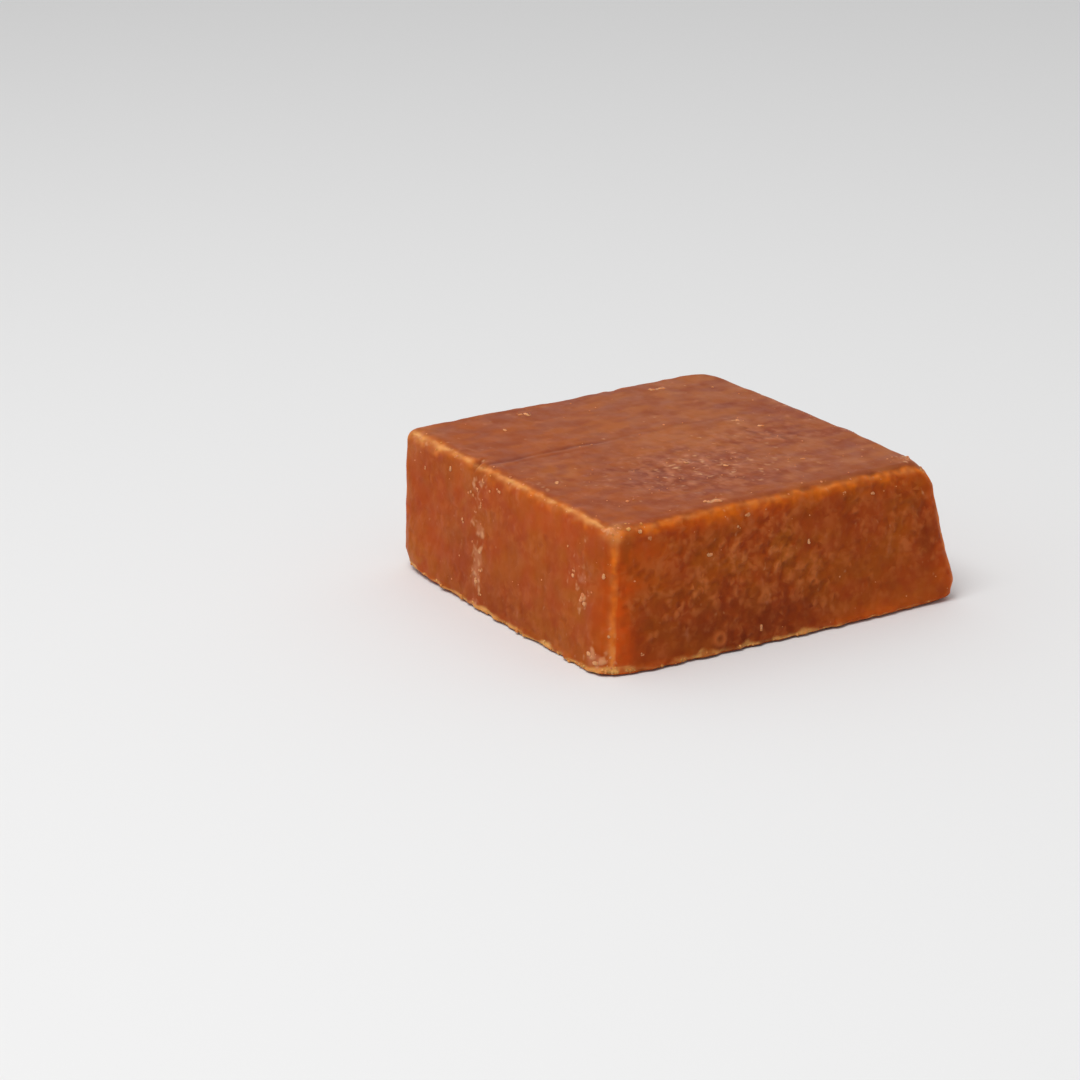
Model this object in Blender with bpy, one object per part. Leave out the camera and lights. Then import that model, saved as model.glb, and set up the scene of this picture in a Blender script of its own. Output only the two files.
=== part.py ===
"""A small moulded block of jaggery, lying on the wide side that was open when it was poured.

Metres, +Z up. The block is a low frustum with soft edges, a little uneven as it left its mould:
its front face looks along -Y, its left face along -X, and it rests on z = 0 around the origin.
"""

import math
from collections import namedtuple

import bmesh
import bpy
from mathutils import Vector, noise

MM = 0.001

# The mould: its open side, its closed side and its depth.
BASE_SIDE = 82.0 * MM
TOP_SIDE = 76.0 * MM
HEIGHT = 29.5 * MM

# How round the top and base edges came out, away from the corners.
TOP_EDGE_RADIUS = 2.4 * MM
BASE_EDGE_RADIUS = 1.0 * MM

# One end, at the base or at the top, of an upright edge: how far it was pulled out of square on the
# way out of the mould, how round the edge is in plan there, and how much rounder wear left its tip.
CornerTip = namedtuple("CornerTip", "pull plan_radius wear")
CORNERS = {
    (-1, -1): (
        CornerTip(Vector((-0.3, 0.8, 0.0)) * MM, 7.0 * MM, 0.0),
        CornerTip(Vector((-0.2, -0.2, -0.8)) * MM, 3.5 * MM, 0.3 * MM),
    ),
    (1, -1): (
        CornerTip(Vector((1.3, -1.2, 0.0)) * MM, 3.0 * MM, 2.6 * MM),
        CornerTip(Vector((-0.4, 0.0, -0.6)) * MM, 3.0 * MM, 3.4 * MM),
    ),
    (-1, 1): (
        CornerTip(Vector((0.8, -0.4, 0.0)) * MM, 6.5 * MM, 3.2 * MM),
        CornerTip(Vector((-0.6, 0.4, 0.1)) * MM, 2.8 * MM, 0.0),
    ),
    (1, 1): (
        CornerTip(Vector((0.0, 0.0, 0.0)), 8.0 * MM, 0.5 * MM),
        CornerTip(Vector((-0.9, 0.7, 0.2)) * MM, 6.5 * MM, 0.0),
    ),
}
# How fast the wear fades away from a corner's tip.
WEAR_FADE = 5

# The faces swell and dip by this much, in soft waves this long.
WAVE_DEPTH = 0.3 * MM
WAVE_LENGTH = 26.0 * MM
WAVE_START = Vector((3.7, 1.9, 8.2))

# The grid that carries the shape: cells across the flat of each face, and round each edge.
FLAT_CELLS = 26
RISE_CELLS = 8
TOP_EDGE_CELLS = 3
BASE_EDGE_CELLS = 2
# How fast the rounding of the upright edges fades towards the middle of the flat faces.
CORNER_FADE = 6

HALF_BASE = BASE_SIDE / 2
X = Vector((1, 0, 0))
Y = Vector((0, 1, 0))
Z = Vector((0, 0, 1))

SKIN_COLOUR = (0.376, 0.083, 0.021, 1.0)
SKIN_ROUGHNESS = 0.55


def edge_stations(radius, cells):
    """Distances from an edge at which grid lines cut its rounding into equal angles."""
    return [radius * (1 - math.tan(math.radians(45) * i / cells)) for i in range(cells)]


def evenly(start, end, cells):
    """The grid lines strictly between start and end."""
    return [start + (end - start) * i / cells for i in range(1, cells)]


def grid_lines_across():
    """Where the grid lines run along X or Y, from one side of the block to the other."""
    rim = [HALF_BASE - distance for distance in edge_stations(TOP_EDGE_RADIUS, TOP_EDGE_CELLS)]
    flat = evenly(-rim[0], rim[0], FLAT_CELLS)
    return [-place for place in reversed(rim)] + flat + rim


def grid_lines_up():
    """Where the grid lines run along Z, from the base to the top."""
    low = sorted(edge_stations(BASE_EDGE_RADIUS, BASE_EDGE_CELLS))
    high = [HEIGHT - distance for distance in edge_stations(TOP_EDGE_RADIUS, TOP_EDGE_CELLS)]
    return low + evenly(low[-1], high[0], RISE_CELLS) + high


def sliced_box():
    """The box that the block is shaped from, cut into a grid that is finer along its edges."""
    box = bmesh.new()
    bmesh.ops.create_cube(box, size=1)
    bmesh.ops.scale(box, vec=(BASE_SIDE, BASE_SIDE, HEIGHT), verts=box.verts)
    bmesh.ops.translate(box, vec=(0, 0, HEIGHT / 2), verts=box.verts)
    across = grid_lines_across()
    for direction, places in ((X, across), (Y, across), (Z, grid_lines_up())):
        for place in places:
            everything = box.verts[:] + box.edges[:] + box.faces[:]
            bmesh.ops.bisect_plane(box, geom=everything, plane_co=direction * place, plane_no=direction)
    return box


def clamp(value, low, high):
    return max(low, min(high, value))


def corner_share(side, x, y):
    """How much of a corner there is in a place: 1 at the corner itself, 0 along the far sides."""
    return (1 + side[0] * x / HALF_BASE) * (1 + side[1] * y / HALF_BASE) / 4


def edge_radius(x, y, z):
    """The rounding of the nearest top or base edge, which is larger near a worn corner."""
    at_top = z > HEIGHT / 2
    radius = TOP_EDGE_RADIUS if at_top else BASE_EDGE_RADIUS
    for side, tips in CORNERS.items():
        radius += tips[at_top].wear * corner_share(side, x, y) ** WEAR_FADE
    return radius


def round_profile(reach, z, radius):
    """Rounds the top and base edges: reach is the distance from the upright axis to the flat sides."""
    core = Vector((min(reach, HALF_BASE - radius), clamp(z, radius, HEIGHT - radius)))
    outward = Vector((reach, z)) - core
    # Off the rounding, a point of the flat faces is straight out from the core and stays where it is.
    return core + outward.normalized() * radius


def round_plan(edge, rise):
    """Rounds an upright edge: moves a point of the square outline to the outline with round corners."""
    quarter = (1 if edge.x > 0 else -1, 1 if edge.y > 0 else -1)
    base, top = CORNERS[quarter]
    radius = base.plan_radius + (top.plan_radius - base.plan_radius) * rise
    straight = HALF_BASE - radius
    core = Vector((clamp(edge.x, -straight, straight), clamp(edge.y, -straight, straight)))
    return core + (edge - core).normalized() * radius


def frustum_point(x, y, rise):
    """A point of the box carried into the frustum between its eight pulled corners."""
    place = Vector((0, 0, 0))
    for side, (base, top) in CORNERS.items():
        low = Vector((side[0] * BASE_SIDE / 2, side[1] * BASE_SIDE / 2, 0)) + base.pull
        high = Vector((side[0] * TOP_SIDE / 2, side[1] * TOP_SIDE / 2, HEIGHT)) + top.pull
        place += low.lerp(high, rise) * corner_share(side, x, y)
    return place


def moulded_point(box_point):
    """Where a point on the plain box ends up on the finished block."""
    x, y, z = box_point
    reach = max(abs(x), abs(y))
    new_reach, new_z = round_profile(reach, z, edge_radius(x, y, z))
    rise = new_z / HEIGHT
    if reach > 0:
        edge = Vector((x, y)) * (HALF_BASE / reach)
        nearness = new_reach / HALF_BASE
        x, y = edge * nearness + (round_plan(edge, rise) - edge) * nearness**CORNER_FADE
    place = frustum_point(x, y, rise)
    wave = noise.noise_vector(place / WAVE_LENGTH + WAVE_START) * WAVE_DEPTH
    wave.z *= rise
    return place + wave


def centre_over_origin(block):
    """Slides the block along X and Y until its box is centred on the origin."""
    xs = [vertex.co.x for vertex in block.verts]
    ys = [vertex.co.y for vertex in block.verts]
    middle = Vector((min(xs) + max(xs), min(ys) + max(ys), 0)) / 2
    bmesh.ops.translate(block, vec=-middle, verts=block.verts)


def skin_material():
    material = bpy.data.materials.new("jaggery")
    material.use_nodes = True
    shader = material.node_tree.nodes["Principled BSDF"]
    shader.inputs["Base Color"].default_value = SKIN_COLOUR
    shader.inputs["Roughness"].default_value = SKIN_ROUGHNESS
    shader.inputs["Metallic"].default_value = 0.0
    return material


def make_block(collection):
    block = sliced_box()
    for vertex in block.verts:
        vertex.co = moulded_point(vertex.co.copy())
    centre_over_origin(block)
    bmesh.ops.recalc_face_normals(block, faces=block.faces)
    mesh = bpy.data.meshes.new("jaggery_block")
    block.to_mesh(mesh)
    block.free()
    mesh.shade_smooth()
    mesh.materials.append(skin_material())
    collection.objects.link(bpy.data.objects.new("jaggery_block", mesh))


for leftover in list(bpy.data.objects):
    bpy.data.objects.remove(leftover)

food = bpy.data.collections.new("jaggery_block")
bpy.context.scene.collection.children.link(food)
make_block(food)
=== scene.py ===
"""The looks of a small moulded block of jaggery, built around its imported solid."""

import math

import bmesh
import bpy
import numpy as np
from mathutils import Matrix, Vector, noise


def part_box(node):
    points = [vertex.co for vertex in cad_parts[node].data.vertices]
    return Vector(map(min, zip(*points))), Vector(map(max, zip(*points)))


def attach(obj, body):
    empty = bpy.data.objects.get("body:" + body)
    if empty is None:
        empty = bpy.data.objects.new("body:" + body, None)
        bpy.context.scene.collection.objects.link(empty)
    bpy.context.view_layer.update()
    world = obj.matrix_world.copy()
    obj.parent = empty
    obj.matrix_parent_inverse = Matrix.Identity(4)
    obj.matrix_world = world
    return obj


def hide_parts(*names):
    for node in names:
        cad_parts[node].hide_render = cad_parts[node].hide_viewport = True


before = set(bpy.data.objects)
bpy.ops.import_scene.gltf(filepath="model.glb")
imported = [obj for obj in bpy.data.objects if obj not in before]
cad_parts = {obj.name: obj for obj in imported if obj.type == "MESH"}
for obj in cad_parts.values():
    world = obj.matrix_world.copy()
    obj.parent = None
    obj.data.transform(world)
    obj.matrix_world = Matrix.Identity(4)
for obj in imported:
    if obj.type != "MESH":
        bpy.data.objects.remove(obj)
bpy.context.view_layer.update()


# ------------------------------------------------------------------------------------------------
# The block: cane juice boiled down to a stiff toffee, beaten till it grains, and poured into a
# square tray mould. It was knocked out cold, so its edges are chipped, its top keeps the drag lines
# of the mould's floor, and the side that was open has a ragged, sugary rim.

MM = 0.001

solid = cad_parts["jaggery_block"]
solid_low, solid_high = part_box("jaggery_block")
height = solid_high.z / MM
half_side = (solid_high.x - solid_low.x) / 2 / MM
# The top's side, as a share of the base's.
TOP_SHARE = 0.93

# Cells of the fine skin along a side and up it, and how much they crowd towards the edges.
CELLS_ACROSS = 188
CELLS_UP = 76
CROWDING = 0.4
# The skin settles onto the solid, and this many passes take the solid's facets out of it.
SETTLING_PASSES = 7


def crowded(step):
    """Moves steps between -1 and 1 so that they lie closer together near both ends."""
    return step * (1 - CROWDING) + np.sin(step * math.pi / 2) * CROWDING


def gridded_cube():
    """A cube from -1 to 1 with every side cut into fine cells."""
    x, y, z = Vector((1, 0, 0)), Vector((0, 1, 0)), Vector((0, 0, 1))
    cube = bmesh.new()
    for right, up, out in ((x, y, z), (x, -y, -z), (x, z, -y), (-x, z, y), (-y, z, -x), (y, z, x)):
        stand = Matrix((right, up, out)).transposed().to_4x4() @ Matrix.Translation((0, 0, 1))
        cells = CELLS_ACROSS if abs(out.z) == 1 else CELLS_UP
        bmesh.ops.create_grid(cube, x_segments=CELLS_ACROSS, y_segments=cells, size=1, matrix=stand)
    bmesh.ops.remove_doubles(cube, verts=cube.verts, dist=0.1 / CELLS_ACROSS)
    mesh = bpy.data.meshes.new("block_skin")
    cube.to_mesh(mesh)
    cube.free()
    return mesh


def places_of(mesh):
    """Where the mesh's points are, a row for each."""
    places = np.empty(len(mesh.vertices) * 3)
    mesh.vertices.foreach_get("co", places)
    return places.reshape(-1, 3)


def put_places(mesh, places):
    """Moves the mesh's points to these places."""
    mesh.vertices.foreach_set("co", places.ravel())
    mesh.update()


def outward_of(mesh):
    """Which way the mesh faces at each of its points, a row for each."""
    directions = np.empty(len(mesh.vertices) * 3)
    mesh.vertex_normals.foreach_get("vector", directions)
    return directions.reshape(-1, 3)


def settled_on_solid(mesh):
    """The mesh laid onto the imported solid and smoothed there."""
    skin = bpy.data.objects.new("block_skin", mesh)
    bpy.context.scene.collection.objects.link(skin)
    wrap = skin.modifiers.new("onto the solid", "SHRINKWRAP")
    wrap.target = solid
    settle = skin.modifiers.new("facets out", "SMOOTH")
    settle.iterations = SETTLING_PASSES
    settled = bpy.data.meshes.new_from_object(skin.evaluated_get(bpy.context.evaluated_depsgraph_get()))
    bpy.data.objects.remove(skin)
    return settled


block_mesh = gridded_cube()
cube_places = crowded(places_of(block_mesh))
box_places = cube_places * (half_side, half_side, height / 2) + (0, 0, height / 2)
box_places[:, :2] *= (1 + (TOP_SHARE - 1) * box_places[:, 2:] / height)
put_places(block_mesh, box_places * MM)
block_mesh = settled_on_solid(block_mesh)

# The cube's lid is at 1 and its floor at -1, give or take a rounding.
LID = 0.9999

# Where each point is, in millimetres, which way it faces, and how far it is from each kind of edge.
places = places_of(block_mesh) / MM
x, y, z = places.T
outward = outward_of(block_mesh)
on_top = cube_places[:, 2] > LID
on_base = cube_places[:, 2] < -LID
inside_top = (1 - np.abs(cube_places[:, :2]).max(axis=1)) * half_side
below_top = np.where(on_top, -inside_top, (1 - cube_places[:, 2]) * height / 2)
from_upright = (1 - np.abs(cube_places[:, :2]).min(axis=1)) * half_side
from_edge = np.where(on_top, inside_top, np.minimum(below_top, from_upright))


def ease(start, end, values):
    """0 before the start, 1 past the end, and a soft step between them."""
    share = np.clip((values - start) / (end - start), 0, 1)
    return share * share * (3 - 2 * share)


def near(values, middle, width):
    """1 at the middle, falling away in a bell of that width."""
    return np.exp(-(((values - middle) / width) ** 2))


def patch(middle, reach, strength):
    """A soft patch: its strength at its middle, falling away over its reach along X, Y and Z."""
    steps = (places - middle) / reach
    return strength * np.exp(-(steps**2).sum(axis=1))


def patches(table):
    """The strongest of several patches at each point."""
    return np.max([patch(middle, reach, strength) for middle, reach, strength in table], axis=0)


# Blender's noise mostly stays within half a unit of zero, and this makes it fill -1 to 1.
NOISE_GAIN = 1.8
# Each seed looks at the noise from this much farther along than the last.
SEED_STEP = 17.3
# How far a bubble reaches, as a share of their spacing, and the power that rounds its hollow.
BUBBLE_REACH = 0.42
BUBBLE_ROUNDING = 0.7
# Two bubbles may lie in one cell of the noise that numbers them, so it is read this much finer.
CELL_SPREAD = 9.1


def swells(size, seed, octaves=1):
    """Soft hills and hollows about size across, mostly from -1 to 1; each seed gives other ones."""
    spots = places / size + SEED_STEP * seed
    return NOISE_GAIN * np.array([noise.fractal(Vector(spot), 1.0, 2.0, octaves) for spot in spots])


def bubbles(size, seed, share):
    """Round hollows set about size apart, with this share of them there: 1 at the middle of one."""
    spots = places / size + SEED_STEP * seed
    depths = np.zeros(len(places))
    for i, spot in enumerate(spots):
        distances, middles = noise.voronoi(Vector(spot))
        # The bubble's own number is from -1 to 1, each as likely as another.
        if noise.cell(middles[0] * CELL_SPREAD) < 2 * share - 1:
            depths[i] = max(0, 1 - distances[0] / BUBBLE_REACH)
    return depths**BUBBLE_ROUNDING


# How much each point faces each way: once with a narrow border, and once with a wide one.
towards = {"top": outward[:, 2], "front": -outward[:, 1], "back": outward[:, 1]}
towards.update({"left": -outward[:, 0], "right": outward[:, 0]})
facing = {side: ease(0.55, 0.85, share) for side, share in towards.items()}
facing_side = {side: ease(0.1, 0.6, share) for side, share in towards.items()}

# The front face is the grainiest in the patches across its middle. The right and back faces are
# evenly grainy, the left one is smoother, and the top is smoothest.
beaten = patches((((-10, -40, 17), (24, 6, 8.5), 1.5), ((20, -40, 19), (20, 6, 8), 0.7)))
grainy = 0.35 + facing["front"] * (0.18 + 0.50 * beaten) - 0.25 * facing["top"]
grainy += 0.42 * facing["right"] + 0.30 * facing["back"]

# The edges are chipped, but two corners were rubbed smooth: the right one of the front at its foot,
# and the far left one at the top.
smooth_corners = patches((((41.5, -41.5, 3), (6, 6, 8), 1.0), ((-39, 39, 29), (7, 7, 8), 1.0)))
edge_zone = ease(2.2, 0.2, from_edge) * (1 - smooth_corners)

# The relief, in millimetres: long swells, the beaten grain, and the lumps and chips of the edges.
relief = 0.12 * swells(12, seed=1) + 0.07 * swells(4.5, seed=2)
relief += 0.11 * grainy * swells(2.5, seed=3, octaves=2)
relief += edge_zone * (0.10 * swells(3.4, seed=4, octaves=2) + 0.06 * swells(1.6, seed=17))
relief -= 0.40 * edge_zone * np.clip(swells(3.4, seed=5) - 0.35, 0, 1)

# Bubbles that broke at the skin left small hollows, in loose flocks.
flocks = ease(-0.2, 0.6, swells(10, seed=6)) * grainy * ease(1.0, 2.5, from_edge)
hollows = flocks * bubbles(1.8, seed=7, share=0.7)
HOLLOW_DEPTH = 0.20
relief -= HOLLOW_DEPTH * hollows

# The top: a lap where two pours met, a short second one in front of it, and a rougher field with
# wandering ridges nearer the front.
LAP_PLACE = 8.6
SECOND_PLACE = LAP_PLACE - 2.4
LAP_DEPTH = 0.18
WORM_HEIGHT = 0.07
lap_wander = 0.5 * swells(9, seed=9)
lap_run = ease(-41, -39, x) * (0.30 + 0.70 * ease(-3, -12, x)) * ease(27, 20, x)
lap = facing["top"] * lap_run * near(y + lap_wander, LAP_PLACE, 0.8)
second_run = ease(-34, -30, x) * ease(-8, -16, x)
lap += 0.5 * facing["top"] * second_run * near(y + lap_wander, SECOND_PLACE, 0.7)
relief -= LAP_DEPTH * lap
rough_field = facing["top"] * patches((((-3, -18, 29), (19, 15, 9), 1.0), ((16, -6, 29), (14, 8, 9), 1.0)))
worms = 1 - np.abs(swells(3.0, seed=10, octaves=2))
relief += WORM_HEIGHT * rough_field * ease(0.75, 1.0, worms)

# A nick in the left edge of the top, close to the end of the lap.
NICK_PLACE = 11.4
NICK_DEPTH = 0.75
nick = ease(3.5, 0.5, from_edge) * (x < 0) * near(y, NICK_PLACE, 0.8) * ease(20, 26, z)
relief -= NICK_DEPTH * nick

# A flake lost from the right edge of the top: it deepens towards the front and ends in a step, with
# a bump and a smaller chip in front of it.
FLAKE_DEPTH = 1.1
right_rim = (x > 0) * ease(3.5, 1.5, from_edge) * ease(20, 25, z)
flake = ease(-1.5, -6.5, y) * ease(-9.6, -8.6, y)
relief += right_rim * (0.18 * near(y, -12, 2.5) - FLAKE_DEPTH * flake - 0.35 * near(y, -16.5, 1.2))

# The right front corner bulges at its foot. The back edge of the top stands up at its left end, and
# sags a little in its middle.
relief += patch((41, -41, 6), (4, 4, 5), 0.40)
relief += patch((-34, 38, 29), (12, 4, 3), 0.15) - patch((6, 38, 29), (12, 4, 3), 0.15)

# A blister near the foot of the front face: a ring round a hollow.
BLISTER_PLACE = (-15.6, -41.0, 3.3)
BLISTER_RADIUS = 1.4
from_blister = np.linalg.norm(places - BLISTER_PLACE, axis=1)
blister_ring = near(from_blister, BLISTER_RADIUS, 0.42)
relief += 0.40 * blister_ring - 0.35 * near(from_blister, 0, 0.85)

# The front left corner of the top is worn into a few pale lumps.
worn_tip = patch((-38.2, -38.2, 28.8), (3.2, 3.0, 2.2), 1.1)
relief += 0.30 * worn_tip * np.clip(swells(1.9, seed=14) + 0.2, 0, 1)

# The ragged rim: the last of the pour, squeezed out round the mould's lip and broken off, and rubbed
# away at two corners. What stays this close to the table lies flat on it.
RIM_JUT = 0.7
FLAT_BELOW = 0.02
rubbed_corners = patches((((41, -41, 0), (8, 8, 4), 1.0), ((-41, 41, 0), (9, 9, 4), 1.0)))
rim_zone = ease(1.9, 0.5, z) * (1 - rubbed_corners)
rim_lumps = np.clip(0.5 + 0.6 * swells(2.6, seed=11, octaves=2), 0, 1.1)
shaped = places + outward * relief[:, None] * (~on_base)[:, None]
shaped += outward * (1, 1, 0) * (RIM_JUT * rim_zone * rim_lumps)[:, None]
shaped[:, 2] = np.where(shaped[:, 2] < FLAT_BELOW, 0, shaped[:, 2])
put_places(block_mesh, shaped * MM)


def store(name, values):
    """Keeps one number a point in the block's mesh, for its material to read."""
    block_mesh.attributes.new(name, "FLOAT", "POINT").data.foreach_set("value", values.astype(np.float32))


# Where the surface changes. The mould's skin lies on the top. Painted glow: the orange of light
# shining through the thin toffee is painted into the upright edges, most at the front, and into a band
# along the top's edge, which is widest on the front face.
TOP_GLOW = 0.9
ragged = 0.5 * swells(2.6, seed=12, octaves=2)
band = 0.9 + 1.4 * facing_side["front"] + 0.8 * facing_side["right"]
upright_glow = ease(4.6, -0.6, from_upright * (1 + 1.2 * facing_side["front"]) + 2.0 * ragged) * ~on_top
upright_glow *= np.where(y < 0, 1.2, 0.6)
top_glow = ease(band + 2.6, band - 2.0, below_top + 2.6 * ragged) * ease(-2.0, 0.8, below_top + ragged)
store("top_skin", ease(0.8, -1.6, below_top + ragged) * ease(0.2, 0.7, outward[:, 2]))
store("painted_edge_glow", np.maximum(upright_glow, TOP_GLOW * top_glow))

# The top's lip is worn pale, most along the left, and so are the left face's front edge low down,
# the far left corner of the top and the front left one.
lip_share = 0.28 + 0.72 * facing_side["left"] + 0.15 * (facing_side["back"] + facing_side["right"])
lip = near(below_top + 0.8 * ragged, 0.4, 1.1) * np.clip(lip_share, 0, 1)
left_arris = near(from_upright + ragged, 0.6, 1.5) * facing_side["left"] * (y < 0)
left_arris *= 0.62 - 0.42 * ease(4, 12, z)
far_corner = patch((-38, 36, 27.5), (4, 5, 3), 1.0)
store("worn_edge", np.clip(lip + left_arris + 0.4 * far_corner + 1.4 * worn_tip, 0, 1.4))

# How high the pale rim climbs, in millimetres. Along the front part of it has broken off.
rim_height = 0.50 + 0.55 * np.clip(swells(6, seed=16), 0, 1)
RIM_PATCHES = (
    ((-39, -39, 0), (6, 5, 3), 2.2),
    ((-40, 37, 0), (5, 7, 3), 1.5),
    ((-38.5, 39, 1.5), (3, 3, 4), 3.5),
    ((-41, 14, 0), (4, 28, 3), 0.7),
    ((-14, -41, 0), (20, 4, 4), 0.55),
    ((-19.5, -41, 0), (1.3, 4, 3), 1.8),
    ((-41, 8, 0), (4, 3, 3), 0.9),
)
rim_height += patches(RIM_PATCHES)
rim_kept = 1 - 0.75 * facing_side["front"] * ease(0.2, -0.3, swells(4, seed=18, octaves=2))
store("rim", rim_kept * ease(rim_height + 0.5, rim_height - 0.3, z + 0.6 * ragged) * ~on_base)

# The grain and the marks, the two strokes where the top was swept clean, and how dull its skin has
# gone, from left to right.
store("grainy", grainy)
store("lap", lap * np.clip(0.8 + 0.6 * swells(3, seed=13), 0, 1))
# Painted shade in the bubbles' hollows, the nick and the blister's middle, which the material darkens.
store("hollow", np.clip(hollows + 1.2 * nick + near(from_blister, 0, 0.8), 0, 1))
# Partly painted highlight on the blister's ring, which the material pales.
store("blister", blister_ring)
store("rough", rough_field)
store("swept", patches((((12, 1, 29), (20, 6, 4), 1.0), ((-16, 15, 29), (14, 3, 4), 0.5))))
store("dulled", ease(-38, 24, x + 5 * swells(14, seed=15)))

# Patches of the block that differ in colour, each given by its middle, its reach and its strength.
# The glow patches are painted glow, and the dusk patches are partly painted shade.
OCHRE_PATCHES = (
    ((-41, 35, 4), (4, 8, 4), 2.6),
    ((-40, -28, 11), (4, 4, 3.5), 1.0),
    ((-41, -18, 4), (4, 12, 4), 0.8),
    ((-40, 15, 21), (4, 3, 5), 1.0),
    ((-31, -40, 17), (6, 4, 1.2), 1.0),
    ((3, -40, 17), (7, 4, 4), 1.0),
    ((26, -41, 2), (15, 4, 4), 1.0),
    ((12, -3, 29), (18, 6, 4), 0.5),
    ((-28, -4, 29), (6, 8, 4), 1.0),
    ((22, 41, 12), (10, 4, 5), 1.0),
    ((41, 18, 8), (4, 12, 4), 1.0),
)
store("ochre", patches(OCHRE_PATCHES))
# Painted glow: the orange of light shining through the toffee, in patches along its thin edges.
PAINTED_GLOW_PATCHES = (
    ((-38.8, -40, 15), (3.6, 3, 18), 1.0),
    ((-35, -40, 17), (6, 3, 1.8), 0.7),
    ((-40.5, -38.5, 15), (3, 3, 16), 0.6),
    ((-40, -14, 25.5), (3, 16, 4), 0.20),
    ((-40, 17, 24.5), (3, 3, 4), 0.15),
    ((-40, 30, 10), (3, 8, 12), 0.12),
    ((-12, -40, 26.5), (18, 3, 2), 0.5),
    ((40, -41, 9), (4, 3, 12), 0.35),
    ((-32, -39, 23), (7, 3, 6), 0.32),
    ((38, -40, 23), (4, 3, 6), 0.6),
    ((24, -41, 1.5), (16, 3, 2.5), 0.35),
    ((41, 40, 12), (3, 3, 12), 0.35),
    ((-40, 40, 12), (3, 3, 12), 0.2),
)
store("painted_glow", patches(PAINTED_GLOW_PATCHES))
# Partly painted shade: the patches low on the left, front, right and back faces darken them towards the
# foot, and the others darken the toffee and the top's skin in places.
DUSK_AND_SHADE_PATCHES = (
    ((-41, 14, 10), (3, 7, 8), 0.45),
    ((-41, -3, 2), (3, 26, 7), 0.6),
    ((-17, -41, 7), (14, 3, 7), 1.0),
    ((-4, -41, 2), (17, 3, 10), 1.2),
    ((36, -40, 17), (4, 3, 9), 1.0),
    ((-12, -18, 29), (14, 9, 3), 1.0),
    ((-30, 8, 29), (12, 4, 3), 1.0),
    ((0, 38, 29), (30, 5, 3), 1.0),
    ((38, 4, 29), (2.2, 32, 3), 1.3),
    ((30, 6, 29), (11, 26, 3), 1.3),
    ((41, -6, 6), (3, 20, 6), 1.0),
    ((-10, 41, 6), (20, 3, 6), 1.0),
)
store("dusk_and_shade", patches(DUSK_AND_SHADE_PATCHES))
CHALK_SMEARS = (
    ((-38.7, 9, 24.5), (2, 2.6, 2.0), 1.0),
    ((-40, 6.9, 12), (2, 1.2, 1.6), 1.0),
    ((-40.5, 6.7, 6.0), (2, 1.0, 3.0), 1.0),
    ((-39.5, -26.4, 17), (2, 1.0, 1.8), 1.0),
    ((-39.8, -30, 13.2), (2, 1.2, 1.8), 1.0),
    ((-40.5, -35, 3), (3, 3.5, 1.8), 1.0),
    ((-38, -36, 28), (2.5, 3.0, 1.0), 1.0),
    ((-38.3, -38.3, 29), (2.8, 2.4, 1.8), 2.2),
    ((18.5, 32, 29), (3.0, 1.0, 3), 1.0),
    ((-14, 32.5, 29), (1.2, 1.2, 3), 1.0),
    ((21, 5, 29), (2.4, 2.2, 3), 1.0),
    ((-13, -34.8, 29), (2.0, 1.0, 3), 1.0),
    ((34, -33, 28.5), (3, 2, 3), 1.0),
    ((40, 8, 20), (3, 2, 5), 1.0),
    ((-12, 40, 14), (2, 3, 6), 1.0),
)
FAINT_SMEARS = (
    ((-40, 8, 14), (3, 2.6, 16), 0.80),
    ((-39.5, -30, 15), (3, 4.5, 9), 0.45),
    ((-38, 0, 29), (4, 42, 2.5), 0.30),
    ((-4, -16, 29), (22, 14, 4), 0.45),
    ((38, 0, 29), (4, 42, 2.5), 0.55),
    ((41, 8, 14), (3, 3, 14), 0.60),
    ((-14, 41, 14), (4, 3, 14), 0.60),
)
store("chalk", np.maximum(patches(CHALK_SMEARS), patches(FAINT_SMEARS)))

# The underside is flat, so its fine cells are joined into one face.
body = bmesh.new()
body.from_mesh(block_mesh)
flat = [face for face in body.faces if all(vertex.co.z < 1e-6 for vertex in face.verts)]
bmesh.ops.dissolve_faces(body, faces=flat, use_verts=True)
body.to_mesh(block_mesh)
body.free()
block_mesh.shade_smooth()


def srgb(red, green, blue):
    """A colour as a painter's chart gives it, from 0 to 255, in the linear numbers shaders use."""
    parts = [part / 255 for part in (red, green, blue)]
    return tuple(p / 12.92 if p <= 0.04045 else ((p + 0.055) / 1.055) ** 2.4 for p in parts) + (1.0,)


TOFFEE = srgb(168, 79, 12)
RED_TOFFEE = srgb(169, 69, 14)
# Darker toffee, for darker bands and patches and for painted shade towards the foot.
DUSK_AND_SHADE_TOFFEE = srgb(130, 48, 9)
MOULD_SKIN = srgb(159, 74, 16)
DULL_SKIN = srgb(163, 89, 41)
SKIN_SHADE = srgb(136, 62, 32)
OCHRE = srgb(170, 90, 22)
# Painted glow: the orange that light shining through the thin edges gives them.
EDGE_GLOW_AMBER = srgb(224, 111, 13)
# Painted glow, for the glow patches.
GLOW_EMBER = srgb(230, 85, 2)
EDGE_TAN = srgb(226, 158, 90)
RIM_TAN = srgb(220, 158, 86)
LAP_RED = srgb(112, 40, 16)
# Painted shade: pits and hollows keep this share of the red, green and blue of what they are in.
PAINTED_PIT_SHADE = (0.50, 0.34, 0.26, 1.0)
# Ridges, lump tops and the blister's ring pale to this: partly pale sugar, partly painted highlight.
RIDGE_TAN_AND_HIGHLIGHT = srgb(208, 116, 58)
VEIL = srgb(198, 124, 86)
CHALK = srgb(226, 166, 118)


def join(tree, value, socket):
    """Sets a socket to a value, or links it where the value is another node's output."""
    if isinstance(value, bpy.types.NodeSocket):
        tree.links.new(value, socket)
    else:
        socket.default_value = value


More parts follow.
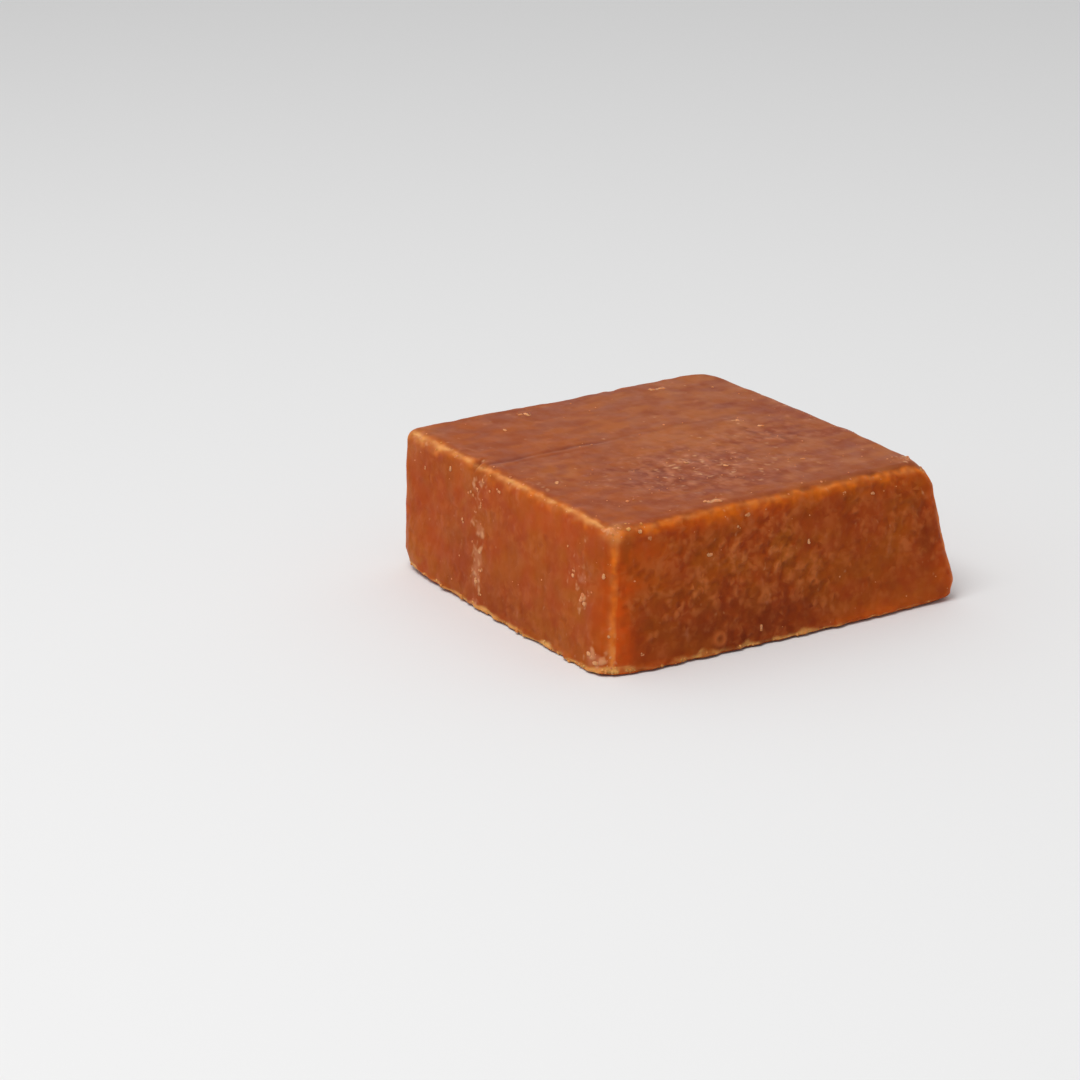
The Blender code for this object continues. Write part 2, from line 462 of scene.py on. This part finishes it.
def reckon(tree, operation, first, second=0.0):
    """What the operation makes of one value or of two."""
    node = tree.nodes.new("ShaderNodeMath")
    node.operation = operation
    join(tree, first, node.inputs[0])
    join(tree, second, node.inputs[1])
    return node.outputs[0]


def add_share(tree, start, share, value):
    """The start, and that share of the value on top of it."""
    return reckon(tree, "ADD", start, reckon(tree, "MULTIPLY", value, share))


def step(tree, value, low, high):
    """A soft step of a value from 0 at low to 1 at high."""
    node = tree.nodes.new("ShaderNodeMapRange")
    node.interpolation_type = "SMOOTHSTEP"
    join(tree, value, node.inputs["Value"])
    node.inputs["From Min"].default_value = low
    node.inputs["From Max"].default_value = high
    return node.outputs["Result"]


def blend(tree, share, first, second, kind="MIX"):
    """The first colour, with that share of the second laid over it."""
    node = tree.nodes.new("ShaderNodeMix")
    node.data_type = "RGBA"
    node.blend_type = kind
    join(tree, share, node.inputs[0])
    join(tree, first, node.inputs[6])
    join(tree, second, node.inputs[7])
    return node.outputs[2]


def stored(tree, name):
    """A number that the mesh keeps at each point."""
    node = tree.nodes.new("ShaderNodeAttribute")
    node.attribute_name = name
    return node.outputs["Fac"]


def part_of(tree, name, share):
    """A kept number, scaled by its share."""
    return reckon(tree, "MULTIPLY", stored(tree, name), share)


def cloud(tree, vector, size, detail=2.0, roughness=0.5):
    """Noise from 0 to 1 whose patches are about size across."""
    node = tree.nodes.new("ShaderNodeTexNoise")
    join(tree, vector, node.inputs["Vector"])
    node.inputs["Scale"].default_value = 1 / size
    node.inputs["Detail"].default_value = detail
    node.inputs["Roughness"].default_value = roughness
    return node.outputs["Fac"]


def scattered(tree, vector, spacing):
    """Points set about that far apart: how near the closest is, and a number of its own."""
    node = tree.nodes.new("ShaderNodeTexVoronoi")
    join(tree, vector, node.inputs["Vector"])
    node.inputs["Scale"].default_value = 1 / spacing
    return node.outputs["Distance"], node.outputs["Color"]


def drawn_out(tree, vector, lengths, lean=0.0):
    """A vector in which patterns are that much longer along X, Y and Z, which lean a little if asked."""
    node = tree.nodes.new("ShaderNodeMapping")
    node.vector_type = "TEXTURE"
    join(tree, vector, node.inputs["Vector"])
    node.inputs["Rotation"].default_value = (-lean, lean, 0)
    node.inputs["Scale"].default_value = lengths
    return node.outputs["Vector"]


def object_places(tree):
    """Where each point is on the object, in metres."""
    return tree.nodes.new("ShaderNodeTexCoord").outputs["Object"]


def new_group(name, inputs, outputs):
    """An empty node group with these sockets, and its own input and output sockets."""
    group = bpy.data.node_groups.new(name, "ShaderNodeTree")
    for label, kind, start in inputs:
        socket = group.interface.new_socket(label, in_out="INPUT", socket_type=kind)
        socket.default_value = start
    for label, kind in outputs:
        group.interface.new_socket(label, in_out="OUTPUT", socket_type=kind)
    return group, group.nodes.new("NodeGroupInput").outputs, group.nodes.new("NodeGroupOutput").inputs


def place_group(tree, group, **values):
    """Puts the group in a tree with these values or links for its inputs, and gives its outputs."""
    node = tree.nodes.new("ShaderNodeGroup")
    node.node_tree = group
    for label, value in values.items():
        join(tree, value, node.inputs[label])
    return node.outputs


# How wide the bloom's veil and blots are.
VEIL_SIZE = 3.0 * MM
BLOT_SIZE = 1.4 * MM


def sugar_bloom_group():
    """Chalky sugar that has crept out of the block: a thin veil and soft blots, thicker by Amount."""
    group, given, made = new_group(
        "sugar bloom",
        (("Colour", "NodeSocketColor", TOFFEE), ("Amount", "NodeSocketFloat", 0.2)),
        (("Colour", "NodeSocketColor"), ("Mask", "NodeSocketFloat")),
    )
    spot = drawn_out(group, object_places(group), (1.0, 1.2, 1.2))
    more = reckon(group, "MULTIPLY", given["Amount"], 0.32)
    haze = step(group, reckon(group, "ADD", cloud(group, spot, VEIL_SIZE), more), 0.62, 0.90)
    colour = blend(group, reckon(group, "MULTIPLY", haze, 0.50), given["Colour"], VEIL)
    blots = step(group, reckon(group, "ADD", cloud(group, spot, BLOT_SIZE, 1.0), more), 0.70, 0.98)
    join(group, blend(group, reckon(group, "MULTIPLY", blots, 0.64), colour, CHALK), made["Colour"])
    join(group, blots, made["Mask"])
    return group


# The beaten grain's sizes: its lumps, the patches where it is strong, the spacing of its pits and
# dots, the wobble of their outlines, and the loops of its seams.
LUMP_SIZE = 2.4 * MM
STRONG_SIZE = 8.0 * MM
PIT_SPACING = 1.9 * MM
WOBBLE_SIZE = 1.3 * MM
SEAM_SIZE = 3.4 * MM


def beaten_grain_group():
    """Beaten sugar's grain: soft lumps, dark pits, pale dots and wandering pale seams."""
    group, given, made = new_group(
        "beaten grain",
        (("Place", "NodeSocketVector", (0, 0, 0)), ("Amount", "NodeSocketFloat", 1.0)),
        (("Pits", "NodeSocketFloat"), ("Ridges", "NodeSocketFloat"), ("Height", "NodeSocketFloat")),
    )
    spot = given["Place"]
    lumps = cloud(group, spot, LUMP_SIZE, 1.5, 0.6)
    strong = step(group, cloud(group, spot, STRONG_SIZE, 1.0), 0.36, 0.60)
    amount = reckon(group, "MULTIPLY", add_share(group, 0.45, 0.55, strong), given["Amount"])

    # Each scattered point is a pit, a dot or nothing, by its own number, and has a wobbly outline.
    distance, own = scattered(group, spot, PIT_SPACING)
    wobble = cloud(group, spot, WOBBLE_SIZE, 0.0)
    mark = step(group, reckon(group, "ADD", distance, wobble), 1.12, 0.40)
    dots = reckon(group, "MULTIPLY", mark, step(group, own, 0.52, 0.62))
    pits = reckon(group, "MULTIPLY", mark, step(group, own, 0.42, 0.34))
    # Painted shade: the low ground between the lumps is darkened as a pit.
    between_lumps = reckon(group, "MULTIPLY", step(group, lumps, 0.49, 0.28), 0.85)
    pits = reckon(group, "MAXIMUM", pits, between_lumps)

    # A seam follows the line where its noise passes its middle, in short runs and only on the lumps.
    off_line = reckon(group, "SUBTRACT", cloud(group, spot, SEAM_SIZE, 1.0), 0.5)
    seams = step(group, reckon(group, "ABSOLUTE", off_line), 0.10, 0.0)
    seams = reckon(group, "MULTIPLY", seams, step(group, wobble, 0.38, 0.60))
    on_lumps = reckon(group, "MULTIPLY", step(group, lumps, 0.42, 0.56), 0.6)
    seams = reckon(group, "MULTIPLY", seams, on_lumps)
    # Partly painted highlight: the tops of the lumps pale as ridges.
    lump_tops = reckon(group, "MULTIPLY", step(group, lumps, 0.48, 0.72), 0.9)
    ridges = reckon(group, "MAXIMUM", reckon(group, "MAXIMUM", dots, seams), lump_tops)
    ridges = reckon(group, "MULTIPLY", ridges, reckon(group, "SUBTRACT", 1.0, pits))

    join(group, reckon(group, "MULTIPLY", pits, amount), made["Pits"])
    join(group, reckon(group, "MULTIPLY", ridges, amount), made["Ridges"])
    height = reckon(group, "SUBTRACT", ridges, pits)
    join(group, reckon(group, "MULTIPLY", height, amount), made["Height"])
    return group


bloom_group = sugar_bloom_group()
grain_group = beaten_grain_group()

# The sizes of the block's patterns, and how far some are drawn out along X, Y and Z.
CLOUD_SIZE = 6.0 * MM
PATCH_SIZE = 2.6 * MM
MOTTLE_SIZE = 3.6 * MM
ALONG = (1.0, 1.4, 1.0)
GRAIN_LENGTHS = (1.0, 1.25, 1.0)
GRAIN_LEAN = math.radians(15)
BAND_SIZE = 7.0 * MM
BAND_LENGTHS = (1.0, 1.0, 5.0)
DRAG_SIZE = 2.8 * MM
DRAG_LENGTHS = (2.3, 1.3, 1.0)
CRUST_SIZE = 1.9 * MM
CRUST_LENGTHS = (1.0, 2.0, 1.0)


def side_and_top_grain(tree, spot, along, top_skin):
    """The beaten grain: it leans a little on the sides, and is fainter under the top's skin."""
    graininess = add_share(tree, stored(tree, "grainy"), -0.4, stored(tree, "painted_glow"))
    graininess = reckon(tree, "MULTIPLY", graininess, reckon(tree, "SUBTRACT", 1.0, top_skin))
    leaning = drawn_out(tree, spot, GRAIN_LENGTHS, GRAIN_LEAN)
    side_grain = place_group(tree, grain_group, Place=leaning, Amount=graininess)
    graininess = add_share(tree, 0.12, 0.63, stored(tree, "rough"))
    graininess = reckon(tree, "MULTIPLY", graininess, top_skin)
    return side_grain, place_group(tree, grain_group, Place=along, Amount=graininess)


def toffee_colour(tree, spot, clouds, mottle, ochre):
    """The toffee, clouded redder, duskier and more ochre, with a few soft upright bands; some of the
    duskiness is painted shade towards the foot.
    """
    colour = blend(tree, clouds, TOFFEE, RED_TOFFEE)
    bands = cloud(tree, drawn_out(tree, spot, BAND_LENGTHS), BAND_SIZE, 0.0)
    bands = reckon(tree, "MULTIPLY", step(tree, bands, 0.40, 0.68), 0.2)
    dusk = reckon(tree, "MAXIMUM", bands, stored(tree, "dusk_and_shade"))
    dusk = reckon(tree, "MULTIPLY", dusk, add_share(tree, 0.5, 0.5, mottle))
    colour = blend(tree, dusk, colour, DUSK_AND_SHADE_TOFFEE)
    return blend(tree, ochre, colour, OCHRE)


def mould_skin_colour(tree, spot, clouds, patchy, ochre):
    """The duller skin that the mould's floor left on the top, dragged out along the lap."""
    skin = blend(tree, stored(tree, "dulled"), MOULD_SKIN, DULL_SKIN)
    drags = cloud(tree, drawn_out(tree, spot, DRAG_LENGTHS), DRAG_SIZE, 1.0)
    shade = reckon(tree, "MULTIPLY", step(tree, drags, 0.34, 0.66), 0.62)
    shade = add_share(tree, shade, 0.3, stored(tree, "dusk_and_shade"))
    shade = add_share(tree, shade, -0.4, stored(tree, "swept"))
    shade = add_share(tree, shade, 0.1, clouds)
    shade = add_share(tree, shade, 0.55, stored(tree, "rough"))
    skin = blend(tree, shade, skin, SKIN_SHADE)
    skin = blend(tree, reckon(tree, "MULTIPLY", patchy, 0.06), skin, VEIL)
    return blend(tree, ochre, skin, OCHRE)


def with_glow(tree, colour, patchy):
    """The colour with a painted glow where light would soak through the thin edges and corners."""
    painted_glow = reckon(tree, "MULTIPLY", stored(tree, "painted_glow"), add_share(tree, 0.65, 0.35, patchy))
    colour = blend(tree, painted_glow, colour, GLOW_EMBER)
    glow = reckon(tree, "MULTIPLY", stored(tree, "painted_edge_glow"), add_share(tree, 0.24, 0.76, patchy))
    return blend(tree, glow, colour, EDGE_GLOW_AMBER)


def with_marks(tree, colour, pits, ridges, top_skin):
    """The colour with painted shade in its pits and hollows, pale ridges and a pale ring round the
    blister that are partly painted highlight, and the lap.
    """
    colour = blend(tree, reckon(tree, "MULTIPLY", pits, 0.60), colour, PAINTED_PIT_SHADE, "MULTIPLY")
    ridge_colour = blend(tree, top_skin, RIDGE_TAN_AND_HIGHLIGHT, VEIL)
    colour = blend(tree, reckon(tree, "MULTIPLY", ridges, 0.76), colour, ridge_colour)
    colour = blend(tree, part_of(tree, "lap", 0.6), colour, LAP_RED)
    colour = blend(tree, part_of(tree, "hollow", 0.6), colour, PAINTED_PIT_SHADE, "MULTIPLY")
    return blend(tree, part_of(tree, "blister", 0.5), colour, RIDGE_TAN_AND_HIGHLIGHT)


def with_crust(tree, spot, colour, clouds):
    """The colour with pale worn edges and the sugary rim, and how worn it is."""
    crust = cloud(tree, drawn_out(tree, spot, CRUST_LENGTHS), CRUST_SIZE)
    crust = step(tree, crust, 0.34, 0.66)
    worn = add_share(tree, add_share(tree, 0.10, 0.55, crust), 0.35, clouds)
    worn = reckon(tree, "MULTIPLY", stored(tree, "worn_edge"), worn)
    colour = blend(tree, worn, colour, EDGE_TAN)
    rim = reckon(tree, "MULTIPLY", stored(tree, "rim"), add_share(tree, 0.6, 0.4, crust))
    return blend(tree, rim, colour, RIM_TAN), worn


# How high the finest grain stands, and how shiny the block is. Some of the light enters it, and gets
# this deep, farther in red than in green and blue.
BUMP_HEIGHT = 0.18 * MM
BLOCK_SHINE = 0.1
LIGHT_LET_IN = 0.4
BLOCK_LIGHT_DEPTH = 1.2 * MM
BLOCK_LIGHT_REACH = (1.0, 0.35, 0.12)


def let_light_in(shader, depth, reach):
    """Lets light into the surface, down to this depth times the reach of each of its colours."""
    shader.inputs["Subsurface Weight"].default_value = LIGHT_LET_IN
    shader.inputs["Subsurface Radius"].default_value = reach
    shader.inputs["Subsurface Scale"].default_value = depth


def block_material():
    """The block's skin: toffee, duller on top, with its glow, grain, marks, crust and bloom."""
    material = bpy.data.materials.new("jaggery")
    material.use_nodes = True
    tree = material.node_tree
    shader = tree.nodes["Principled BSDF"]
    spot = object_places(tree)
    along = drawn_out(tree, spot, ALONG)
    clouds = step(tree, cloud(tree, spot, CLOUD_SIZE, 1.0), 0.34, 0.66)
    patchy = step(tree, cloud(tree, along, PATCH_SIZE, 1.0), 0.36, 0.62)
    mottle = step(tree, cloud(tree, along, MOTTLE_SIZE, 2.0, 0.6), 0.32, 0.68)
    ochre = reckon(tree, "MULTIPLY", part_of(tree, "ochre", 0.6), reckon(tree, "ADD", patchy, 0.1))
    top_skin = stored(tree, "top_skin")
    side_grain, top_grain = side_and_top_grain(tree, spot, along, top_skin)
    pits = reckon(tree, "MAXIMUM", side_grain["Pits"], top_grain["Pits"])
    ridges = reckon(tree, "MAXIMUM", side_grain["Ridges"], top_grain["Ridges"])

    colour = toffee_colour(tree, spot, clouds, mottle, ochre)
    skin = mould_skin_colour(tree, spot, clouds, patchy, ochre)
    colour = with_glow(tree, blend(tree, top_skin, colour, skin), patchy)
    colour = with_marks(tree, colour, pits, ridges, top_skin)
    colour, worn = with_crust(tree, spot, colour, clouds)
    bloom = place_group(tree, bloom_group, Colour=colour, Amount=stored(tree, "chalk"))
    join(tree, bloom["Colour"], shader.inputs["Base Color"])

    rise = add_share(tree, side_grain["Height"], 0.4, top_grain["Height"])
    rise = add_share(tree, add_share(tree, rise, 0.5, bloom["Mask"]), 0.4, worn)
    bump = tree.nodes.new("ShaderNodeBump")
    bump.inputs["Distance"].default_value = BUMP_HEIGHT
    join(tree, rise, bump.inputs["Height"])
    join(tree, bump.outputs["Normal"], shader.inputs["Normal"])
    join(tree, add_share(tree, 0.45, 0.15, mottle), shader.inputs["Roughness"])
    shader.inputs["Specular IOR Level"].default_value = BLOCK_SHINE
    let_light_in(shader, BLOCK_LIGHT_DEPTH, BLOCK_LIGHT_REACH)
    return material


block_mesh.materials.clear()
block_mesh.materials.append(block_material())
block = bpy.data.objects.new("block_of_jaggery", block_mesh)
bpy.context.scene.collection.objects.link(block)
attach(block, "root")
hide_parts("jaggery_block")


# ------------------------------------------------------------------------------------------------
# Loose sugar: pale crystals, a few tenths of a millimetre across, that came off the edges when the
# block was knocked out of its mould and stuck where they fell, mostly near the edges and the smears.

rng = np.random.default_rng(11)
skin_places = places_of(block_mesh)
skin_outward = outward_of(block_mesh)


def kept(name):
    """One of the numbers a point that the block's mesh keeps."""
    values = np.empty(len(skin_places), dtype=np.float32)
    block_mesh.attributes[name].data.foreach_get("value", values)
    return values


def crystal_shape(detail):
    """The points of a ball one across, and its triangles."""
    ball = bmesh.new()
    bmesh.ops.create_icosphere(ball, subdivisions=detail, radius=0.5)
    points = np.array([vertex.co for vertex in ball.verts])
    triangles = np.array([[vertex.index for vertex in face.verts] for face in ball.faces])
    ball.free()
    return points, triangles


def strewn(name, seats, widths, flatness, sunk, detail, roughness):
    """A mesh of lumps on the block's skin, one at each seat, each its own width, turn and rough shape."""
    points, triangles = crystal_shape(detail)
    count = len(seats)
    dents = 1 + roughness * rng.uniform(-1, 1, (count, len(points), 1))
    stretch = rng.uniform(0.65, 1.0, (count, 1, 3)) * (1, 1, flatness)
    lumps = points * dents * stretch * widths[:, None, None]
    for i, seat in enumerate(seats):
        turn = Vector(skin_outward[seat]).to_track_quat("Z", "Y").to_matrix()
        turn = turn @ Matrix.Rotation(rng.uniform(0, math.tau), 3, "Z")
        lift = skin_outward[seat] * widths[i] * flatness * (0.5 - sunk)
        lumps[i] = lumps[i] @ np.array(turn).T + skin_places[seat] + lift
    lumps[:, :, 2] = np.maximum(lumps[:, :, 2], 0)
    faces = triangles + len(points) * np.arange(count)[:, None, None]
    mesh = bpy.data.meshes.new(name)
    mesh.from_pydata(lumps.reshape(-1, 3), [], faces.reshape(-1, 3))
    tints = np.repeat(rng.uniform(0, 1, count), len(points)).astype(np.float32)
    mesh.attributes.new("tint", "FLOAT", "POINT").data.foreach_set("value", tints)
    piece = bpy.data.objects.new(name, mesh)
    bpy.context.scene.collection.objects.link(piece)
    return piece


def seats_by(chance, count):
    """Points of the block's skin chosen at random, each as likely as its chance says."""
    return rng.choice(len(skin_places), size=count, p=chance / chance.sum())


# A crystal's speckles, how shiny it is, and how deep light gets into it.
SPECKLE_SIZE = 0.2 * MM
SUGAR_SHINE = 0.05
SUGAR_LIGHT_DEPTH = 0.5 * MM
SUGAR_LIGHT_REACH = (1.0, 0.6, 0.35)


def sugar_material(name, pale, tan, roughness):
    """Sugar from pale to tan, by each lump's own tint and a few speckles."""
    material = bpy.data.materials.new(name)
    material.use_nodes = True
    tree = material.node_tree
    shader = tree.nodes["Principled BSDF"]
    speckles = cloud(tree, object_places(tree), SPECKLE_SIZE)
    share = add_share(tree, part_of(tree, "tint", 0.8), 0.2, speckles)
    join(tree, blend(tree, share, pale, tan), shader.inputs["Base Color"])
    shader.inputs["Roughness"].default_value = roughness
    shader.inputs["Specular IOR Level"].default_value = SUGAR_SHINE
    let_light_in(shader, SUGAR_LIGHT_DEPTH, SUGAR_LIGHT_REACH)
    return material


GRAIN_COUNT = 260
GRAIN_WIDTH = 0.36 * MM
GRAIN_CREAM = srgb(230, 156, 108)
GRAIN_TAN = srgb(200, 116, 70)

# Nothing sticks right at the foot, nor near the back edges and behind them.
ABOVE_FOOT = 0.3 * MM
BEFORE_BACK = 35 * MM
open_skin = (skin_places[:, 2] > ABOVE_FOOT) & (skin_places[:, 1] < BEFORE_BACK)
chance = 0.02 + kept("chalk") ** 2 + 0.15 * kept("worn_edge") + 0.05 * kept("painted_edge_glow")
chance *= open_skin
seats = seats_by(chance, GRAIN_COUNT)
widths = GRAIN_WIDTH * rng.lognormal(0, 0.35, GRAIN_COUNT)
grains = strewn("sugar_grains", seats, widths, flatness=0.5, sunk=0.35, detail=1, roughness=0.15)
grains.data.materials.append(sugar_material("sugar", GRAIN_CREAM, GRAIN_TAN, 0.45))
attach(grains, "root")


# ------------------------------------------------------------------------------------------------
# Chalk flecks: the larger crystals, thin and up to a millimetre and a half across, each dried onto
# the skin in its own place as a little huddle of lumps.

# The millimetres where each lies on the block, and how wide it is.
FLECKS = (
    ((-39, 7.5, 26), 0.9),
    ((-39, 12, 23), 0.7),
    ((-39, 9.3, 24.2), 0.8),
    ((-39, 10.6, 22.6), 0.8),
    ((-39.2, 7.8, 21.4), 0.8),
    ((-39.3, 9.4, 19.6), 0.6),
    ((-40, 13.8, 16.6), 0.7),
    ((-40, 6.9, 12), 0.8),
    ((-40.5, 6.6, 8.3), 0.9),
    ((-40.7, 7.6, 5.8), 1.0),
    ((-40.8, 6.2, 3.4), 0.9),
    ((-39, 1.5, 26), 0.8),
    ((-39, 20, 25.6), 0.9),
    ((-39, 29.7, 23.5), 0.6),
    ((-39.5, -26.4, 17.4), 1.2),
    ((-39.8, -30, 13.6), 1.3),
    ((-39.9, -30.8, 12.2), 1.0),
    ((-39, -36, 19.2), 0.9),
    ((-39, -24, 21.6), 0.6),
    ((-40, -38.5, 8), 0.8),
    ((-40.5, -34, 3.4), 1.2),
    ((-40.6, -35.4, 2.2), 1.0),
    ((-32, -38.5, 27.5), 0.9),
    ((-30, -38.5, 25.8), 0.7),
    ((-7.7, -39, 26.2), 0.9),
    ((-9.8, -39, 23.9), 0.6),
    ((-17, -39, 20), 0.9),
    ((6, -39, 18.2), 0.7),
    ((22, -38.5, 25), 0.7),
    ((15, -38.5, 26.4), 0.6),
    ((-6, -41, 3.4), 0.8),
    ((-33, -41, 3.7), 0.7),
    ((-14.2, 32.5, 29.5), 1.4),
    ((-13.4, 31.6, 29.5), 1.0),
    ((-23, 25.3, 29.5), 0.9),
    ((17.6, 32.2, 29.5), 1.2),
    ((19.6, 31.8, 29.5), 1.0),
    ((30, 27.5, 29.5), 0.8),
    ((-32.4, -9, 29.5), 1.1),
    ((1, -18.2, 29.5), 1.0),
    ((-4.5, -12.4, 29.5), 0.9),
    ((22.7, -0.4, 29.5), 1.0),
    ((20.5, 5.2, 29.5), 0.8),
    ((16.4, -22.7, 29.5), 0.9),
    ((-14.6, -34.2, 29.5), 1.1),
    ((-12.8, -35.2, 29.5), 1.2),
)
# Each is a huddle of this many lumps.
LUMPS_EACH = 3
FLECK_PALE = srgb(238, 168, 118)
FLECK_TAN = srgb(204, 122, 74)

widths = np.repeat([width * MM for place, width in FLECKS], LUMPS_EACH)
lump_places = np.repeat(np.array([place for place, width in FLECKS]) * MM, LUMPS_EACH, axis=0)
lump_places += rng.normal(0, 0.22, lump_places.shape) * widths[:, None]
seats = [int(np.linalg.norm(skin_places - place, axis=1).argmin()) for place in lump_places]
widths *= rng.uniform(0.5, 1.1, len(widths))
flecks = strewn("chalk_flecks", seats, widths, flatness=0.35, sunk=0.42, detail=2, roughness=0.22)
flecks.data.shade_smooth()
flecks.data.materials.append(sugar_material("chalk", FLECK_PALE, FLECK_TAN, 0.55))
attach(flecks, "root")


# ------------------------------------------------------------------------------------------------
# Crumbs of the rim: yellowish lumps of the block itself, about two thirds of a millimetre across,
# broken from the open side's lip and pressed back along the foot, with a few along the worn edges.

CRUMB_COUNT = 80
CRUMB_WIDTH = 0.66 * MM
CRUMB_PALE = srgb(228, 166, 98)
CRUMB_BROWN = srgb(198, 118, 56)

chance = (kept("rim") + 0.06 * kept("worn_edge")) * open_skin
seats = seats_by(chance, CRUMB_COUNT)
widths = CRUMB_WIDTH * rng.lognormal(0, 0.3, CRUMB_COUNT)
crumbs = strewn("rim_crumbs", seats, widths, flatness=0.5, sunk=0.40, detail=2, roughness=0.22)
crumbs.data.shade_smooth()
crumbs.data.materials.append(sugar_material("crumb", CRUMB_PALE, CRUMB_BROWN, 0.55))
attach(crumbs, "root")


# ------------------------------------------------------------------------------------------------
# The table: a plain pale sheet of card for the block to lie on.

TABLE_SIZE = 4.0
TABLE_WHITE = srgb(232, 232, 232)
CARD_ROUGHNESS = 0.9

bpy.ops.mesh.primitive_plane_add(size=TABLE_SIZE)
table = bpy.context.object
table.name = "table"
card = bpy.data.materials.new("card")
card.use_nodes = True
card.node_tree.nodes["Principled BSDF"].inputs["Base Color"].default_value = TABLE_WHITE
card.node_tree.nodes["Principled BSDF"].inputs["Roughness"].default_value = CARD_ROUGHNESS
table.data.materials.append(card)


# ------------------------------------------------------------------------------------------------
# The light: a white room, brighter behind the block, and a large soft box high at the left.

KEY_PLACE = (-0.46, -0.16, 1.08)
KEY_SIZE = 0.6
KEY_POWER = 7.9
ROOM_DIM = 0.36
ROOM_BRIGHT = 0.72

light = bpy.data.lights.new("soft_box", "AREA")
light.size = KEY_SIZE
light.energy = KEY_POWER
soft_box = bpy.data.objects.new("soft_box", light)
soft_box.location = KEY_PLACE
soft_box.rotation_euler = (-Vector(KEY_PLACE)).to_track_quat("-Z", "Y").to_euler()
bpy.context.scene.collection.objects.link(soft_box)
room = bpy.data.worlds.new("room")
room.use_nodes = True
walls = room.node_tree
split = walls.nodes.new("ShaderNodeSeparateXYZ")
join(walls, walls.nodes.new("ShaderNodeTexCoord").outputs["Generated"], split.inputs[0])
behind = step(walls, split.outputs["Y"], -0.5, 0.5)
glow = add_share(walls, ROOM_DIM, ROOM_BRIGHT - ROOM_DIM, behind)
join(walls, glow, walls.nodes["Background"].inputs["Strength"])
walls.nodes["Background"].inputs["Color"].default_value = (1.0, 1.0, 1.0, 1.0)
bpy.context.scene.world = room
bpy.context.scene.view_settings.view_transform = "Standard"


# ------------------------------------------------------------------------------------------------
# The camera: a long lens, a little above the block and round to its front left corner.

AZIMUTH = math.radians(-32.0)
ELEVATION = math.radians(18.8)
DISTANCE = 0.6646
ROLL = math.radians(-0.7)
LENS = 110.0
CLIP_START = 0.05
# The camera aims to the left of the block's middle and a little below it, in its own directions.
AIM_RIGHT = -25.9 * MM
AIM_UP = -5.4 * MM

back = Vector((math.sin(AZIMUTH), -math.cos(AZIMUTH), math.tan(ELEVATION))).normalized()
right = Vector((0, 0, 1)).cross(back).normalized()
up = back.cross(right)
aim = Vector((0, 0, height / 2 * MM)) + right * AIM_RIGHT + up * AIM_UP
tilted_right = right * math.cos(ROLL) + up * math.sin(ROLL)
tilted_up = up * math.cos(ROLL) - right * math.sin(ROLL)
camera = bpy.data.objects.new("camera", bpy.data.cameras.new("camera"))
camera.data.lens = LENS
camera.data.clip_start = CLIP_START
turn = Matrix((tilted_right, tilted_up, back)).transposed().to_4x4()
camera.matrix_world = Matrix.Translation(aim + back * DISTANCE) @ turn
bpy.context.scene.collection.objects.link(camera)
bpy.context.scene.camera = camera
